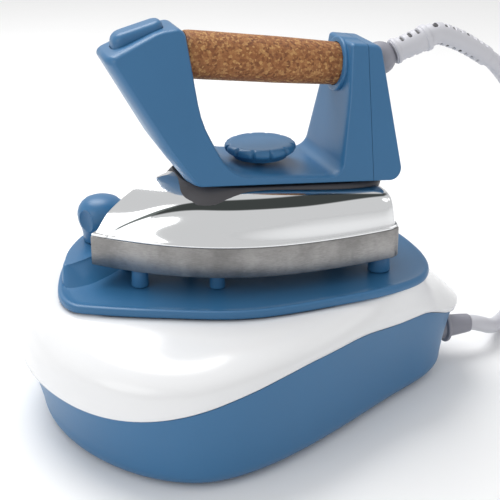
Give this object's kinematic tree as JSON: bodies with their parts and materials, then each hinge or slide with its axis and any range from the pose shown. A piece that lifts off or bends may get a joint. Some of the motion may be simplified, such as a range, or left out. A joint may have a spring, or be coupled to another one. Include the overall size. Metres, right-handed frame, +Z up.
{
  "type": "steam generator iron",
  "caption": "Household steam generator iron: a cork-handled steam iron resting on its boiler station, joined by a steam hose, with filler cap, dial and steam button.",
  "frame": {"origin": "on the surface the station stands on, at the middle of the station's footprint box", "axes": "+X towards the heel of the iron and the station's narrow rear, +Y away from the side with the plain flank towards the switches, +Z up"},
  "size_m": [0.5558, 0.2648, 0.275],
  "materials": {
    "blue_plastic": "satin moulded plastic",
    "white_plastic": "glossy moulded plastic",
    "chrome": "polished plate",
    "aluminium": "ground and brushed",
    "charcoal_plastic": "matte heat-proof moulding",
    "cork": "sanded pressed cork",
    "grey_rubber": "satin",
    "hose_rubber": "satin",
    "black_rubber": "matte",
    "steel": "zinc plated",
    "stainless_steel": "drawn sheet",
    "brass": "machined",
    "copper_tube": "drawn tube",
    "ceramic": "matte",
    "switch_black": "satin",
    "lamp_amber": "clear moulded lens",
    "silicone": "satin"
  },
  "bodies": {
    "station": {"lower_housing": "blue_plastic", "upper_housing": "white_plastic", "rest_plate": "blue_plastic", "rest_pad_front_near": "blue_plastic", "rest_pad_front_far": "blue_plastic", "rest_pad_middle_near": "blue_plastic", "rest_pad_middle_far": "blue_plastic", "rest_pad_rear_near": "blue_plastic", "rest_pad_rear_far": "blue_plastic", "filler_neck": "brass", "boiler_lower_shell": "stainless_steel", "boiler_upper_shell": "stainless_steel", "boiler_heater": "steel", "pressure_switch": "brass", "boiler_steam_pipe": "copper_tube", "outlet_steam_pipe": "copper_tube", "valve_body": "brass", "valve_coil": "switch_black", "valve_spring": "steel", "hose_gland": "grey_rubber", "mains_gland": "black_rubber", "switch_panel": "charcoal_plastic", "ready_lamp": "lamp_amber", "foot_front_near": "black_rubber", "foot_front_far": "black_rubber", "foot_rear_near": "black_rubber", "foot_rear_far": "black_rubber", "housing_screw_front_near": "steel", "housing_screw_front_far": "steel", "housing_screw_rear_near": "steel", "housing_screw_rear_far": "steel", "hose_coil": "hose_rubber", "hose_lower": "hose_rubber"},
    "iron": {"soleplate": "aluminium", "iron_heater": "steel", "chamber_cover": "aluminium", "iron_thermostat": "ceramic", "chrome_cover": "chrome", "heat_shield": "charcoal_plastic", "handle_body": "blue_plastic", "handle_rear_cover": "blue_plastic", "handle_screw": "steel", "cork_grip": "cork", "grip_rod": "steel", "button_spring": "steel", "microswitch": "switch_black", "iron_steam_tube": "copper_tube", "hose_ball": "grey_rubber", "bend_sleeve": "hose_rubber", "bend_protector": "hose_rubber", "hose_upper": "hose_rubber"},
    "button": {"steam_button": "blue_plastic"},
    "dial": {"temperature_dial": "blue_plastic", "dial_shaft": "steel"},
    "cap_lift": {"cap_seal": "silicone"},
    "cap": {"cap_knob": "blue_plastic", "cap_plug": "brass"},
    "boiler_switch": {"boiler_rocker": "switch_black"},
    "iron_switch": {"iron_rocker": "switch_black"},
    "plunger": {"valve_plunger": "steel"}
  },
  "joints": [
    {"name": "iron_lift", "type": "slide", "parent": "station", "child": "iron", "axis": [0, 0, 1], "range_m": [0, 0.1]},
    {"name": "button_press", "type": "slide", "parent": "iron", "child": "button", "axis": [0, 0, -1], "range_m": [0, 0.003], "stiffness_N_per_m": 700, "springref_m": -0.003, "deforming": ["button_spring"]},
    {"name": "dial_turn", "type": "hinge", "parent": "iron", "child": "dial", "pos_m": [0.0116, 0, 0.187], "axis": [0, 0, 1], "range_deg": [-135, 135]},
    {"name": "cap_rise", "type": "slide", "parent": "station", "child": "cap_lift", "axis": [0, 0, 1], "range_m": [0, 0.0075]},
    {"name": "cap_turn", "type": "hinge", "parent": "cap_lift", "child": "cap", "pos_m": [-0.0915, 0.046, 0.1105], "axis": [0, 0, 1], "range_deg": [0, 900]},
    {"name": "boiler_switch_rock", "type": "hinge", "parent": "station", "child": "boiler_switch", "pos_m": [0.0367, 0.08995, 0.042], "axis": [0.8944, -0.4472, 0], "range_deg": [-8, 8]},
    {"name": "iron_switch_rock", "type": "hinge", "parent": "station", "child": "iron_switch", "pos_m": [0.05817, 0.07922, 0.042], "axis": [0.8944, -0.4472, 0], "range_deg": [-8, 8]},
    {"name": "plunger_pull", "type": "slide", "parent": "station", "child": "plunger", "axis": [0, 0, 1], "range_m": [0, 0.0025], "stiffness_N_per_m": 300, "springref_m": -0.004, "deforming": ["valve_spring"]}
  ],
  "couplings": [
    {"joint": "cap_turn", "follows": "cap_rise", "rad_per_m": 2094.4}
  ]
}
